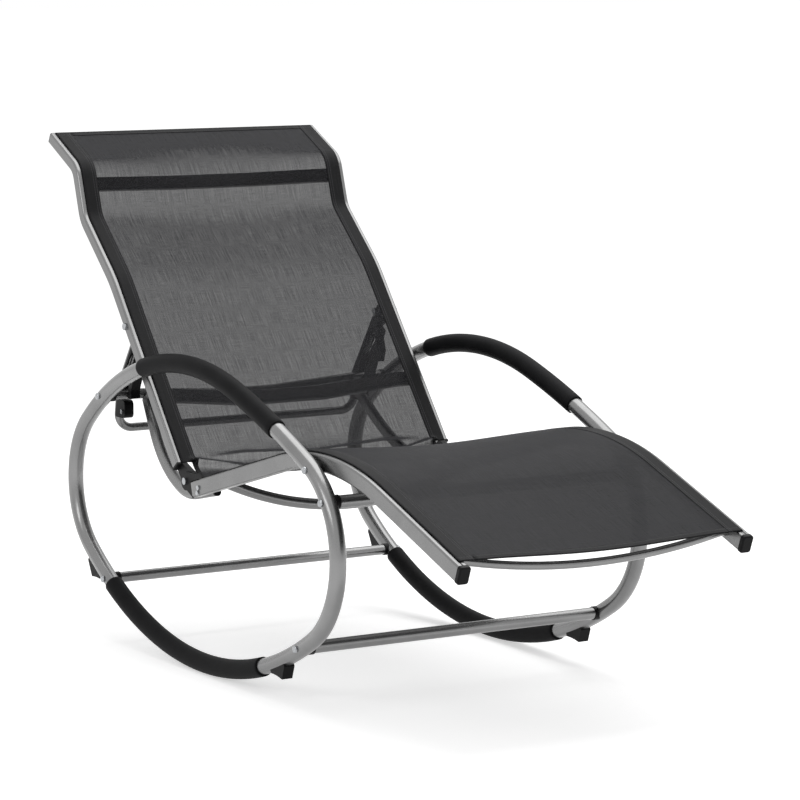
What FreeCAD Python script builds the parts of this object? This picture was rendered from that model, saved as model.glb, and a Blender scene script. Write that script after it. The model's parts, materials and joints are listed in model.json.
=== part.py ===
"""Camp rocking chair: two tube hoops that rock on foam sleeves, a seat on two bent rails,
and a high back that reclines on hinges and is held by a notched bail behind it.

Frame: millimetres, +Z up, the floor at Z = 0, X across the chair (the sitter's right side is
negative) and the sitter's feet towards -Y. The origin is on the floor, midway along and across.
"""
import FreeCAD, Part
import math
import os
import Sketcher

V = FreeCAD.Vector
SIDES = {"right": -1, "left": 1}

doc = FreeCAD.newDocument("camp_rocking_chair")

# ---------------------------------------------------------------- driving sizes (mm, degrees)
SIZES = [
    # side hoops: one closed loop of tube per side, drawn as tangent arcs
    ("hoop_spacing", 620), ("hoop_diameter", 29), ("hoop_wall", 1.5),
    ("rocker_y", 83), ("rocker_radius", 750), ("rocker_front_turn", 31), ("rocker_rear_turn", 36.5),
    ("front_bend_radius", 170), ("front_run_radius", 1900), ("top_radius", 610),
    ("rear_bend_radius", 155), ("rear_bend_turn", 103.6),
    ("splice_length", 90), ("splice_wall", 1.5), ("tube_fit", 0.15), ("seat_fit", 0.1),
    # foam sleeves, their ends given as turns round the hoop from its lowest point
    ("foam_diameter", 35), ("foam_fit", 0.2),
    ("armrest_rear_turn", 164.5), ("armrest_front_turn", 201.9),
    ("rocker_foam_front_turn", 16.7), ("rocker_foam_rear_turn", 28.2),
    # crossbars between the hoops, each at a turn round the hoop
    ("upper_rear_turn", 148.3), ("lower_rear_turn", 29.5),
    ("lower_front_turn", 332.1), ("under_seat_turn", 234.9),
    ("rear_bar_diameter", 20), ("front_bar_diameter", 22), ("rear_bar_wall", 1.5), ("front_bar_wall", 1.8),
    ("upper_bar_flat", 56), ("upper_bar_slope_run", 175), ("upper_bar_bend_radius", 200),
    ("upper_bar_bow", 20), ("upper_bar_heading", -45),
    ("saddle_thickness", 4), ("saddle_lip", 1.5), ("insert_length", 18),
    ("bolt_diameter", 6), ("bolt_head_diameter", 13), ("bolt_head_height", 4), ("bolt_fit", 0.1),
    # black feet that stop the chair from rocking too far
    ("foot_width", 21), ("front_foot_depth", 34), ("rear_foot_depth", 32),
    ("front_foot_start", 19.7), ("front_foot_tip", 22.2), ("front_foot_end", 23.4),
    ("rear_foot_start", 31), ("rear_foot_tip", 32.9), ("rear_foot_end", 35.1),
    # seat rails
    ("rail_spacing", 564), ("rail_width", 20), ("rail_wall", 1.6), ("rail_corner", 4),
    ("seat_rail_depth", 30), ("seat_front_y", -724.5), ("seat_front_z", 301),
    ("seat_crest_y", -317), ("seat_crest_z", 453), ("seat_crest_radius", 534),
    ("seat_rear_y", 161.1), ("seat_rear_z", 320.6), ("seat_bolt_turn", 210.2),
    ("seat_cap_length", 9), ("seat_cap_lip", 1), ("back_cap_length", 1.5), ("back_cap_lip", 0),
    ("cap_plug", 18), ("plug_clearance", 0.8),
    # channel that the fabric's edge cord slides into
    ("channel_slot", 2.4), ("channel_offset", 0.5), ("channel_depth", 7), ("channel_bore", 5),
    # seat spreaders: bowed tubes that keep the rails apart under the fabric
    ("rear_spreader_diameter", 20), ("rear_spreader_y", 84.5), ("rear_spreader_dip", 23.4),
    ("front_spreader_diameter", 14), ("front_spreader_y", -684), ("front_spreader_dip", 11),
    ("spreader_wall", 1.5), ("spreader_straight", 20), ("spreader_stub", 10), ("spreader_stub_radius", 24),
    # support arms: from the upper rear crossbar down to the seat rails
    ("arm_depth", 25), ("arm_width", 15), ("arm_wall", 1.5), ("arm_tilt", 11),
    ("arm_front_y", 119.6), ("arm_front_z", 324.3), ("arm_heading", -12), ("arm_low_run", 75),
    ("arm_low_radius", 130), ("arm_low_turn", 27), ("arm_radius", 330), ("arm_gap", 0.3),
    ("arm_plug_length", 4), ("arm_stop_gap", 2),
    ("arm_screw_y", 136), ("screw_diameter", 5), ("screw_head_diameter", 9), ("screw_head_height", 2.5),
    # recline hinge
    ("hinge_y", 184), ("hinge_z", 333), ("hinge_eye_radius", 17), ("hinge_pin_diameter", 8),
    ("hinge_play", 0.05), ("hinge_side_gap", 0.3), ("hinge_lug_width", 9), ("hinge_lobe_length", 30),
    ("hinge_lobe_height", 11), ("flange_thickness", 1.5), ("knuckle_flange", 4),
    # back rails, their centre line given by its corners
    ("back_rail_depth", 22), ("back_low_y", 225.5), ("back_low_z", 356.4),
    ("back_bend_y", 474), ("back_bend_z", 674), ("back_bend_radius", 300),
    ("back_neck_y", 591), ("back_neck_z", 781), ("back_neck_radius", 60),
    ("back_head_y", 620.5), ("back_head_z", 875), ("back_head_radius", 40),
    ("back_top_y", 724), ("back_top_z", 928),
    # bars behind the back fabric
    ("back_bar_depth", 14), ("back_bar_wall", 1.5), ("back_bar_flat", 36), ("back_bar_slope_run", 150),
    ("back_bar_bend_radius", 60),
    ("head_bar_height", 28), ("head_bar_place", 0.81), ("head_bar_bow", 10),
    ("low_bar_height", 30), ("low_bar_place", 0.187), ("low_bar_bow", 28),
    # recline bail and its racks
    ("bail_spacing", 520), ("bail_diameter", 16), ("bail_wall", 1.5), ("bail_top", 9),
    ("bail_pivot_y", 414), ("bail_pivot_z", 593), ("bail_knee_y", 500), ("bail_knee_z", 466),
    ("bail_foot_y", 512), ("bail_foot_z", 389), ("bail_knee_radius", 60), ("bail_corner_radius", 30),
    ("recline", 18), ("bail_ratio", 0.6), ("rack_width", 19), ("rack_clearance", 1.5),
    ("rack_wall", 6), ("rack_notch", 3), ("block_height", 34), ("block_length", 41), ("block_front_y", 468),
    ("block_corner", 9), ("block_clearance", 2.5), ("block_screw_y", 478), ("block_screw_z", 425),
    # sling fabric
    ("fabric_thickness", 2), ("fabric_gap", 0.3), ("fabric_foot_end", 12), ("fabric_head_end", 2), ("fabric_hinge_gap", 9),
]

sheet = doc.addObject("Spreadsheet::Sheet", "Sizes")
for row, (alias, value) in enumerate(SIZES, start=1):
    sheet.set("A%d" % row, alias)
    sheet.set("B%d" % row, str(value))
    sheet.setAlias("B%d" % row, alias)
doc.recompute()


def size(expression):
    """The number that an expression of the sheet's names gives now."""
    return float(sheet.evalExpression(expression))


def bind(thing, prop, expression):
    """Tie one property of an object to the sheet."""
    thing.setExpression(prop, expression)


# ---------------------------------------------------------------- plane geometry (y, z)
def heading(angle):
    """Unit vector at an angle in degrees from +y towards +z."""
    return V(math.cos(math.radians(angle)), math.sin(math.radians(angle)), 0)


def radial(turn):
    """Unit vector from a hoop circle's centre to the place where the hoop has turned this far."""
    return heading(turn - 90)


def angle_of(vector):
    return math.degrees(math.atan2(vector.y, vector.x))


def line(start, end):
    return {"kind": "line", "start": start, "end": end}


def arc(centre, radius, start, end, way, size_name=None):
    """Arc from start to end; way is 1 for anticlockwise and -1 for clockwise."""
    return {"kind": "arc", "centre": centre, "radius": radius, "start": start, "end": end,
            "way": way, "size": size_name}


def round_corners(points, radii):
    """Straight runs through the points, each inner corner rounded by a tangent arc."""
    path = []
    last = points[0]
    for before, corner, after, radius in zip(points, points[1:], points[2:], radii):
        first = (corner - before).normalize()
        second = (after - corner).normalize()
        turn = math.atan2(first.x * second.y - first.y * second.x, first.dot(second))
        cut = radius * math.tan(abs(turn) / 2)
        way = 1 if turn > 0 else -1
        begin = corner - first * cut
        centre = begin + V(-first.y, first.x, 0) * radius * way
        path.append(line(last, begin))
        last = corner + second * cut
        path.append(arc(centre, radius, begin, last, way))
    path.append(line(last, points[-1]))
    return path


def start_heading(path):
    first = path[0]
    if first["kind"] == "line":
        return angle_of(first["end"] - first["start"])
    return angle_of(first["start"] - first["centre"]) + 90 * first["way"]


def point_along(path, share):
    """Place and heading on a path of runs and arcs, at a share of its whole length."""
    def length(piece):
        if piece["kind"] == "line":
            return (piece["end"] - piece["start"]).Length
        return piece["radius"] * math.radians(sweep(piece))
    rest = share * sum(length(piece) for piece in path)
    for piece in path:
        if rest <= length(piece) or piece is path[-1]:
            break
        rest -= length(piece)
    if piece["kind"] == "line":
        run = (piece["end"] - piece["start"]).normalize()
        return piece["start"] + run * rest, angle_of(run)
    at = angle_of(piece["start"] - piece["centre"]) + piece["way"] * math.degrees(rest / piece["radius"])
    return piece["centre"] + heading(at) * piece["radius"], at + 90 * piece["way"]


def sweep(piece):
    """Angle in degrees that an arc turns through."""
    first = angle_of(piece["start"] - piece["centre"])
    last = angle_of(piece["end"] - piece["centre"])
    return ((last - first) * piece["way"]) % 360


# ---------------------------------------------------------------- the hoop's own circles
def circle_meeting(first, first_distance, second, second_distance):
    """The point at two given distances from two points, on the right of first to second."""
    apart = second - first
    span = apart.Length
    along = (first_distance ** 2 - second_distance ** 2 + span ** 2) / (2 * span)
    across = math.sqrt(first_distance ** 2 - along ** 2)
    unit = apart / span
    return first + unit * along + V(unit.y, -unit.x, 0) * across


def hoop_circles():
    """The hoop as (centre, radius, from turn, to turn, size name), rearward from its lowest point."""
    rocker, front, run = size("rocker_radius"), size("front_bend_radius"), size("front_run_radius")
    top, rear = size("top_radius"), size("rear_bend_radius")
    centre = V(size("rocker_y"), size("foam_diameter") / 2 + rocker, 0)
    front_turn = 360 - size("rocker_front_turn")
    rear_turn = size("rocker_rear_turn")
    top_turn = rear_turn + size("rear_bend_turn")
    rear_centre = centre + radial(rear_turn) * (rocker - rear)
    top_centre = rear_centre + radial(top_turn) * (rear - top)
    front_centre = centre + radial(front_turn) * (rocker - front)
    run_centre = circle_meeting(front_centre, run - front, top_centre, run - top)
    run_turn = angle_of(top_centre - run_centre) + 90
    bend_turn = angle_of(front_centre - run_centre) + 90
    return [
        (centre, rocker, 0, rear_turn, "rocker_radius"),
        (rear_centre, rear, rear_turn, top_turn, "rear_bend_radius"),
        (top_centre, top, top_turn, run_turn % 360, "top_radius"),
        (run_centre, run, run_turn % 360, bend_turn % 360, "front_run_radius"),
        (front_centre, front, bend_turn % 360, front_turn, "front_bend_radius"),
        (centre, rocker, front_turn, 360, "rocker_radius"),
    ]


HOOP = hoop_circles()


def hoop_point(turn):
    """Centre of the hoop's tube where it has turned this far from its lowest point."""
    for centre, radius, first, last, _ in HOOP:
        if first <= turn <= last:
            return centre + radial(turn) * radius


def hoop_path(first_turn, last_turn):
    """The stretch of hoop between two turns, rearward; a negative first turn starts in front."""
    path = []
    if first_turn < 0:
        path = hoop_path(360 + first_turn, 360)
        first_turn = 0
    for centre, radius, begin, end, name in HOOP:
        low, high = max(begin, first_turn), min(end, last_turn)
        if high - low > 0.01:
            path.append(arc(centre, radius, centre + radial(low) * radius,
                            centre + radial(high) * radius, 1, name))
    if len(path) > 1 and (path[0]["centre"] - path[1]["centre"]).Length < 1e-6:
        joined = arc(path[0]["centre"], path[0]["radius"], path[0]["start"], path[1]["end"], 1,
                     path[0]["size"])
        path = [joined] + path[2:]
    return path


# ---------------------------------------------------------------- sketch and body helpers
def origin_plane(body, role):
    return [f for f in body.Origin.OriginFeatures if f.Role == role][0]


def new_sketch(body, name, role, offset=0):
    """A sketch on one of the body's own origin planes, moved along its normal."""
    sketch = body.newObject("Sketcher::SketchObject", name)
    sketch.AttachmentSupport = [(origin_plane(body, role), "")]
    sketch.MapMode = "FlatFace"
    sketch.AttachmentOffset = FreeCAD.Placement(V(0, 0, offset), FreeCAD.Rotation())
    return sketch


def driven(sketch, kind, expression, *where, angle=False):
    """A dimension in a sketch that reads its value from the sheet."""
    value = math.radians(size(expression)) if angle else size(expression)
    index = sketch.addConstraint(Sketcher.Constraint(kind, *where, value))
    suffix = " * 1 deg" if angle else ""
    bind(sketch, "Constraints[%d]" % index, "(" + sheet_names(expression) + ")" + suffix)


def sheet_names(expression):
    """The expression with each of the sheet's names written out for another object to read."""
    words = expression.replace("(", "( ").replace(")", " )").split()
    return " ".join("Sizes." + word if word[0].isalpha() else word for word in words)


def circle(sketch, diameter, place=V(0, 0, 0)):
    """A circle whose diameter the sheet gives."""
    index = sketch.addGeometry(Part.Circle(place, V(0, 0, 1), size(diameter) / 2), False)
    if place.Length < 1e-9:
        sketch.addConstraint(Sketcher.Constraint("Coincident", index, 3, -1, 1))
    else:
        sketch.addConstraint(Sketcher.Constraint("DistanceX", -1, 1, index, 3, place.x))
        sketch.addConstraint(Sketcher.Constraint("DistanceY", -1, 1, index, 3, place.y))
    driven(sketch, "Diameter", diameter, index)
    return index


def rounded_rectangle(sketch, width, height, corner, place=V(0, 0, 0)):
    """A rectangle with round corners, centred on a place, its three sizes from the sheet."""
    half_w, half_h, radius = size(width) / 2, size(height) / 2, size(corner)
    box = [V(-half_w, -half_h, 0), V(half_w, -half_h, 0), V(half_w, half_h, 0), V(-half_w, half_h, 0)]
    sides, corners = [], []
    for n in range(4):
        a, b, c = (place + box[(n + k) % 4] for k in range(3))
        ahead, aside = (b - a).normalize(), (c - b).normalize()
        sides.append(sketch.addGeometry(Part.LineSegment(a + ahead * radius, b - ahead * radius), False))
        round_at = Part.Circle(b - ahead * radius + aside * radius, V(0, 0, 1), radius)
        first = math.radians(90 * n - 90)
        corners.append(sketch.addGeometry(Part.ArcOfCircle(round_at, first, first + math.pi / 2), False))
    for n in range(4):
        sketch.addConstraint(Sketcher.Constraint("Tangent", sides[n], 2, corners[n], 1))
        sketch.addConstraint(Sketcher.Constraint("Tangent", corners[n], 2, sides[(n + 1) % 4], 1))
    for n in (1, 2, 3):
        sketch.addConstraint(Sketcher.Constraint("Equal", corners[0], corners[n]))
    sketch.addConstraint(Sketcher.Constraint("Horizontal", sides[0]))
    sketch.addConstraint(Sketcher.Constraint("Vertical", sides[1]))
    driven(sketch, "Radius", corner, corners[0])
    driven(sketch, "DistanceX", width + " - 2 * (" + corner + ")", corners[3], 3, corners[0], 3)
    driven(sketch, "DistanceY", height + " - 2 * (" + corner + ")", corners[0], 3, corners[1], 3)
    sketch.addConstraint(Sketcher.Constraint("DistanceX", -1, 1, corners[3], 3, place.x - half_w + radius))
    sketch.addConstraint(Sketcher.Constraint("DistanceY", -1, 1, corners[3], 3, place.y - half_h + radius))


def outline(sketch, path):
    """Draw a path of runs and arcs in a sketch as it stands, its ends joined."""
    ids = []
    for piece in path:
        if piece["kind"] == "line":
            ids.append((sketch.addGeometry(Part.LineSegment(piece["start"], piece["end"]), False), 1, 2))
            continue
        ends = (piece["start"], piece["end"])[::piece["way"]]
        first = math.radians(angle_of(ends[0] - piece["centre"]))
        round_at = Part.Circle(piece["centre"], V(0, 0, 1), piece["radius"])
        shape = Part.ArcOfCircle(round_at, first, first + math.radians(sweep(piece)))
        ids.append((sketch.addGeometry(shape, False),) + (1, 2)[::piece["way"]])
    return ids


def spine_sketch(body, path):
    """The path as a constrained sketch that starts at the body's origin along its +Y."""
    sketch = new_sketch(body, "spine", "YZ_Plane")
    turn_back = FreeCAD.Rotation(V(0, 0, 1), -start_heading(path))
    local = []
    for piece in path:
        moved = dict(piece)
        for key in ("start", "end", "centre"):
            if key in piece:
                moved[key] = turn_back.multVec(piece[key] - path[0]["start"])
        local.append(moved)
    ids = outline(sketch, local)
    sketch.addConstraint(Sketcher.Constraint("Coincident", ids[0][0], ids[0][1], -1, 1))
    if local[0]["kind"] == "line":
        sketch.addConstraint(Sketcher.Constraint("Horizontal", ids[0][0]))
    else:
        sketch.addConstraint(Sketcher.Constraint("PointOnObject", ids[0][0], 3, -2))
    for before, after in zip(ids, ids[1:]):
        sketch.addConstraint(Sketcher.Constraint("Tangent", before[0], before[2], after[0], after[1]))
    for piece, (index, _, _) in zip(local, ids):
        if piece["kind"] == "line":
            length = (piece["end"] - piece["start"]).Length
            sketch.addConstraint(Sketcher.Constraint("Distance", index, length))
            continue
        if piece["size"]:
            driven(sketch, "Radius", piece["size"], index)
        else:
            sketch.addConstraint(Sketcher.Constraint("Radius", index, piece["radius"]))
        sketch.addConstraint(Sketcher.Constraint("Angle", index, math.radians(sweep(piece))))
    return sketch


def new_body(name):
    body = doc.addObject("PartDesign::Body", name)
    body.Label = name
    return body


def pipe(body, kind, spine, draw_section, name):
    """Sweep a section, drawn by the given function, along a spine sketch."""
    section = new_sketch(body, name + "_section", "XZ_Plane")
    draw_section(section)
    doc.recompute()
    swept = body.newObject("PartDesign::" + kind, name)
    swept.Profile = section
    swept.Spine = (spine, ["Edge%d" % (n + 1) for n in range(len(spine.Shape.Edges))])
    doc.recompute()
    return swept


def along_path(path, x, turn=None):
    """Placement that carries a spine sketch's start to the path's start, at a given x."""
    rotation = FreeCAD.Rotation(V(1, 0, 0), start_heading(path))
    place = V(x, path[0]["start"].x, path[0]["start"].y)
    if turn is not None:
        rotation = turn.multiply(rotation)
    return FreeCAD.Placement(place, rotation)


def tube(name, path, x, outer, inner, placement=None):
    """Round tube along a path: the outer and inner diameters come from the sheet."""
    body = new_body(name)
    spine = spine_sketch(body, path)
    doc.recompute()

    def ring(section):
        circle(section, outer)
        circle(section, inner)

    pipe(body, "AdditivePipe", spine, ring, "tube")
    body.Placement = placement or along_path(path, x)
    return body


def cross_holes(body, places, diameter):
    """Round holes straight across a body, in X, at (y, z) places of the chair."""
    before = body.Shape.Volume
    sketch = new_sketch(body, "cross_holes", "YZ_Plane")
    back = body.Placement.inverse()
    for place in places:
        local = back.multVec(V(body.Placement.Base.x, place.x, place.y))
        circle(sketch, diameter, V(local.y, local.z, 0))
    pocket = body.newObject("PartDesign::Pocket", "bolt_holes")
    pocket.Profile = sketch
    pocket.Type = "ThroughAll"
    pocket.SideType = "Symmetric"
    doc.recompute()
    if not body.Shape.Volume < before:
        raise RuntimeError(body.Label + ": its bolt holes cut nothing")


def closed(points, radius=0):
    """A closed outline through the points, each corner rounded by the same radius if given."""
    if not radius:
        return [line(a, b) for a, b in zip(points, points[1:] + points[:1])]
    middle = (points[0] + points[-1]) / 2
    ring = [middle] + points + [middle]
    return [p for p in round_corners(ring, [radius] * len(points))
            if p["kind"] == "arc" or (p["end"] - p["start"]).Length > 1e-6]


def plate(name, path, side, inner_x, width, body=None, feature="plate"):
    """Pad a closed outline in X, outward from inner_x on the given side."""
    body = new_body(name) if body is None else body
    sketch = new_sketch(body, feature + "_outline", "YZ_Plane", side * inner_x)
    for index, _, _ in outline(sketch, path):
        sketch.addConstraint(Sketcher.Constraint("Block", index))
    pad = body.newObject("PartDesign::Pad", feature)
    pad.Profile = sketch
    pad.Reversed = side < 0
    bind(pad, "Length", sheet_names(width))
    doc.recompute()
    return body


def bar(name, place, length, outer, inner):
    """Straight round tube across the chair, its axis at a (y, z) place."""
    body = new_body(name)
    sketch = new_sketch(body, "section", "YZ_Plane")
    circle(sketch, outer)
    circle(sketch, inner)
    pad = body.newObject("PartDesign::Pad", "bar")
    pad.Profile = sketch
    pad.SideType = "Symmetric"
    bind(pad, "Length", sheet_names(length))
    body.Placement = FreeCAD.Placement(V(0, place.x, place.y), FreeCAD.Rotation())
    return body


def solid(name, shape):
    """A sub-part whose shape is made by Part's own functions."""
    feature = doc.addObject("Part::Feature", name)
    feature.Label = name
    feature.Shape = shape
    return feature


def x_cylinder(place, side, inner_x, length, radius):
    """Cylinder along X at a (y, z) place, outward from inner_x on the given side."""
    return Part.makeCylinder(radius, length, V(side * inner_x, place.x, place.y), V(side, 0, 0))


# ---------------------------------------------------------------- places that several pieces share
HOOP_X = size("hoop_spacing / 2")
HOOP_R = size("hoop_diameter / 2")
RAIL_X = size("rail_spacing / 2")
RAIL_IN = RAIL_X - size("rail_width / 2")
RAIL_OUT = RAIL_X + size("rail_width / 2")
BAIL_X = size("bail_spacing / 2")
HINGE = V(size("hinge_y"), size("hinge_z"), 0)
PIVOT = V(size("bail_pivot_y"), size("bail_pivot_z"), 0)
BARS = {
    "crossbar_upper_rear": ("upper_rear_turn", "rear_bar_diameter"),
    "crossbar_lower_rear": ("lower_rear_turn", "rear_bar_diameter"),
    "crossbar_lower_front": ("lower_front_turn", "front_bar_diameter"),
    "crossbar_under_seat": ("under_seat_turn", "front_bar_diameter"),
}
CATCH = hoop_point(size("upper_rear_turn"))
SEAT_BOLT = hoop_point(size("seat_bolt_turn"))

SEAT_PATH = round_corners(
    [V(size("seat_front_y"), size("seat_front_z"), 0), V(size("seat_crest_y"), size("seat_crest_z"), 0),
     V(size("seat_rear_y"), size("seat_rear_z"), 0)], [size("seat_crest_radius")])
BACK_PATH = round_corners(
    [V(size("back_%s_y" % n), size("back_%s_z" % n), 0) for n in ("low", "bend", "neck", "head", "top")],
    [size("back_%s_radius" % n) for n in ("bend", "neck", "head")])


# ---------------------------------------------------------------- hoops, splices and foam
def build_hoops():
    bolts_front = [SEAT_BOLT] + [hoop_point(size(BARS[n][0])) for n in
                                 ("crossbar_lower_front", "crossbar_under_seat")]
    bolts_rear = [hoop_point(size(BARS[n][0])) for n in ("crossbar_upper_rear", "crossbar_lower_rear")]
    top_joint = (size("armrest_rear_turn") + size("armrest_front_turn")) / 2
    inner = "hoop_diameter - 2 * hoop_wall"
    for side_name, side in SIDES.items():
        rear = tube("hoop_rear_" + side_name, hoop_path(0, top_joint), side * HOOP_X, "hoop_diameter", inner)
        cross_holes(rear, bolts_rear, "bolt_diameter + 2 * bolt_fit")
        front = tube("hoop_front_" + side_name, hoop_path(top_joint, 360), side * HOOP_X,
                     "hoop_diameter", inner)
        cross_holes(front, bolts_front, "bolt_diameter + 2 * bolt_fit")
        for where, middle in (("top", top_joint), ("bottom", 0)):
            radius = size("top_radius") if where == "top" else size("rocker_radius")
            half = math.degrees(size("splice_length") / 2 / radius)
            tube("hoop_splice_%s_%s" % (where, side_name), hoop_path(middle - half, middle + half),
                 side * HOOP_X, inner + " - 2 * tube_fit", inner + " - 2 * tube_fit - 2 * splice_wall")


def build_foam():
    inner = "hoop_diameter + 2 * foam_fit"
    for side_name, side in SIDES.items():
        tube("armrest_sleeve_" + side_name, hoop_path(size("armrest_rear_turn"), size("armrest_front_turn")),
             side * HOOP_X, "foam_diameter", inner)
        tube("rocker_sleeve_" + side_name,
             hoop_path(-size("rocker_foam_front_turn"), size("rocker_foam_rear_turn")),
             side * HOOP_X, "foam_diameter", inner)


# ---------------------------------------------------------------- crossbars, saddles, bolts
BAR_END = HOOP_X - HOOP_R - size("saddle_thickness")


def build_crossbars():
    """Three straight crossbars; the upper rear one is bowed back and down, clear of the sling."""
    length = "hoop_spacing - hoop_diameter - 2 * saddle_thickness"
    for name, (turn, diameter) in BARS.items():
        if name == "crossbar_upper_rear":
            continue
        wall = diameter.replace("diameter", "wall")
        bar(name, hoop_point(size(turn)), length, diameter, "%s - 2 * %s" % (diameter, wall))


def build_upper_bar():
    def skin(section):
        circle(section, "rear_bar_diameter")

    def hollow(section):
        circle(section, "rear_bar_diameter - 2 * rear_bar_wall")

    path = stepped("upper_bar", BAR_END)
    body = cross_tube("crossbar_upper_rear", CATCH, size("upper_bar_heading"), path, skin)
    spine = [o for o in body.Group if o.Name.startswith("spine")][0]
    pipe(body, "SubtractivePipe", spine, hollow, "bore")


def hoop_rod(turn, side, radius):
    """Straight rod along the hoop's tube where it has turned this far, for cutting seats."""
    along = heading(turn)
    place = hoop_point(turn)
    reach = size("foam_diameter")
    start = V(side * HOOP_X, place.x - along.x * reach, place.y - along.y * reach)
    return Part.makeCylinder(radius, 2 * reach, start, V(0, along.x, along.y))


def bolt(place, side, shank_from, seat_x):
    """Round-head bolt along X: its head seats on seat_x and its shank runs in to shank_from."""
    head_r, head_h = size("bolt_head_diameter / 2"), size("bolt_head_height")
    head = x_cylinder(place, side, seat_x, head_h, head_r)
    head = head.makeFillet(head_h * 0.6, [e for e in head.Edges if abs(abs(e.CenterOfMass.x) - seat_x
                                                                   - head_h) < 1e-6][:1])
    return head.fuse(x_cylinder(place, side, shank_from, seat_x - shank_from, size("bolt_diameter / 2")))


def build_bar_fittings():
    """Saddles, threaded inserts and bolts at the ends of the four crossbars."""
    saddles, inserts, bolts = [], [], []
    hole = size("bolt_diameter / 2 + bolt_fit")
    for turn_name, diameter in BARS.values():
        turn = size(turn_name)
        place = hoop_point(turn)
        for side in SIDES.values():
            wide = size(diameter + " / 2 + saddle_lip")
            saddle = x_cylinder(place, side, BAR_END, HOOP_R, wide)
            saddle = saddle.cut(hoop_rod(turn, side, HOOP_R + size("seat_fit")))
            saddles.append(saddle.cut(x_cylinder(place, side, BAR_END - 1, HOOP_R, hole)))
            bore = size("%s / 2 - %s - seat_fit" % (diameter, diameter.replace("diameter", "wall")))
            depth = size("insert_length")
            insert = x_cylinder(place, side, BAR_END - depth, depth, bore)
            inserts.append(insert.cut(x_cylinder(place, side, BAR_END - depth - 1, depth + 2, hole)))
            bolts.append(bolt(place, side, BAR_END - depth, HOOP_X + HOOP_R))
    solid("crossbar_saddles", Part.makeCompound(saddles))
    solid("crossbar_inserts", Part.makeCompound(inserts))
    solid("crossbar_bolts", Part.makeCompound(bolts))


# ---------------------------------------------------------------- feet that stop the rocking
def arc_through(first, middle, last):
    """Arc through three points, as a path piece."""
    circle = Part.Arc(first, middle, last).toShape().Curve
    turn = (middle - first).cross(last - middle).z
    return arc(circle.Center, circle.Radius, first, last, 1 if turn > 0 else -1)


def prism(path, side, inner_x, width):
    """Solid with a closed (y, z) outline, padded in X outward from inner_x on the given side."""
    edges = []
    for piece in path:
        if piece["kind"] == "line":
            edges.append(Part.LineSegment(piece["start"], piece["end"]).toShape())
            continue
        ends = (piece["start"], piece["end"])[::piece["way"]]
        first = math.radians(angle_of(ends[0] - piece["centre"]))
        ring = Part.Circle(piece["centre"], V(0, 0, 1), piece["radius"])
        edges.append(Part.Arc(ring, first, first + math.radians(sweep(piece))).toShape())
    face = Part.Face(Part.Wire(Part.__sortEdges__(edges)))
    block = face.extrude(V(0, 0, width))
    to_side = FreeCAD.Rotation(V(0, 1, 0), V(0, 0, 1), V(1, 0, 0), "XYZ")
    block.Placement = FreeCAD.Placement(V(inner_x if side > 0 else -inner_x - width, 0, 0), to_side)
    return block


def hoop_rod_arc(first_turn, last_turn, side, radius):
    """Solid rod of a given radius along a stretch of the rocker, for cutting seats."""
    centre, rocker = HOOP[0][0], size("rocker_radius")
    start = centre + radial(first_turn) * rocker
    along = heading(first_turn)
    section = Part.Wire(Part.Circle(V(side * HOOP_X, start.x, start.y), V(0, along.x, along.y),
                                    radius).toShape())
    return Part.Face(section).revolve(V(0, centre.x, centre.y), V(1, 0, 0), last_turn - first_turn)


def build_feet():
    centre = HOOP[0][0]
    rocker = size("rocker_radius")
    width = size("foot_width")
    for end, way in (("front", -1), ("rear", 1)):
        start, tip, last = (size("%s_foot_%s" % (end, n)) for n in ("start", "tip", "end"))
        deep = rocker + size(end + "_foot_depth")
        skin = rocker + HOOP_R + size("saddle_lip")
        top, low = [centre + radial(way * a) * rocker for a in (start, last)], centre + radial(way * tip) * deep
        begin, finish = (centre + radial(way * a) * skin for a in (start, last))
        belly = centre + radial(way * (start + tip) / 2) * (skin + (deep - skin) * 0.4)
        path = [line(top[0], begin), arc_through(begin, belly, low), line(low, finish),
                line(finish, top[1]), line(top[1], top[0])]
        spread = sorted((way * (start - 1), way * (last + 1)))
        for side_name, side in SIDES.items():
            foot = prism(path, side, HOOP_X - width / 2, width)
            rod = hoop_rod_arc(spread[0], spread[1], side, HOOP_R + size("seat_fit"))
            solid("stop_foot_%s_%s" % (end, side_name), foot.cut(rod))


# ---------------------------------------------------------------- rails
def rail(name, path, side, depth, holes):
    """Bent rail: hollow rounded section with a channel along it that grips the fabric's edge."""
    body = new_body(name)
    spine = spine_sketch(body, path)
    doc.recompute()
    wall, half = size("rail_wall"), size(depth + " / 2")
    offset = side * size("channel_offset")
    cavity_top = half - size("channel_depth") - 2 * wall

    def skin(section):
        rounded_rectangle(section, "rail_width", depth, "rail_corner")

    def cavity(section):
        middle = (cavity_top - (half - wall)) / 2
        rounded_rectangle(section, "rail_width - 2 * rail_wall",
                          depth + " - channel_depth - 3 * rail_wall", "rail_corner - rail_wall", V(0, middle, 0))

    def channel(section):
        bore = size("channel_bore") / 2
        slot = size("channel_slot") / 2
        centre = V(offset, half - size("channel_depth") + bore, 0)
        lip = math.sqrt(bore ** 2 - slot ** 2)
        left, right = centre + V(-slot, lip, 0), centre + V(slot, lip, 0)
        tall = V(0, half + 1 - centre.y - lip, 0)
        path = [line(right + tall, left + tall), line(left + tall, left),
                arc(centre, bore, left, right, 1), line(right, right + tall)]
        for index, _, _ in outline(section, path):
            section.addConstraint(Sketcher.Constraint("Block", index))

    pipe(body, "AdditivePipe", spine, skin, "skin")
    full = body.Shape.Volume
    pipe(body, "SubtractivePipe", spine, cavity, "cavity")
    pipe(body, "SubtractivePipe", spine, channel, "channel")
    if not body.Shape.Volume < full * 0.6:
        raise RuntimeError(name + ": its cavity or channel cut nothing")
    body.Placement = along_path(path, side * RAIL_X)
    for place, diameter in holes:
        cross_holes(body, [place], diameter)
    return body


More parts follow.
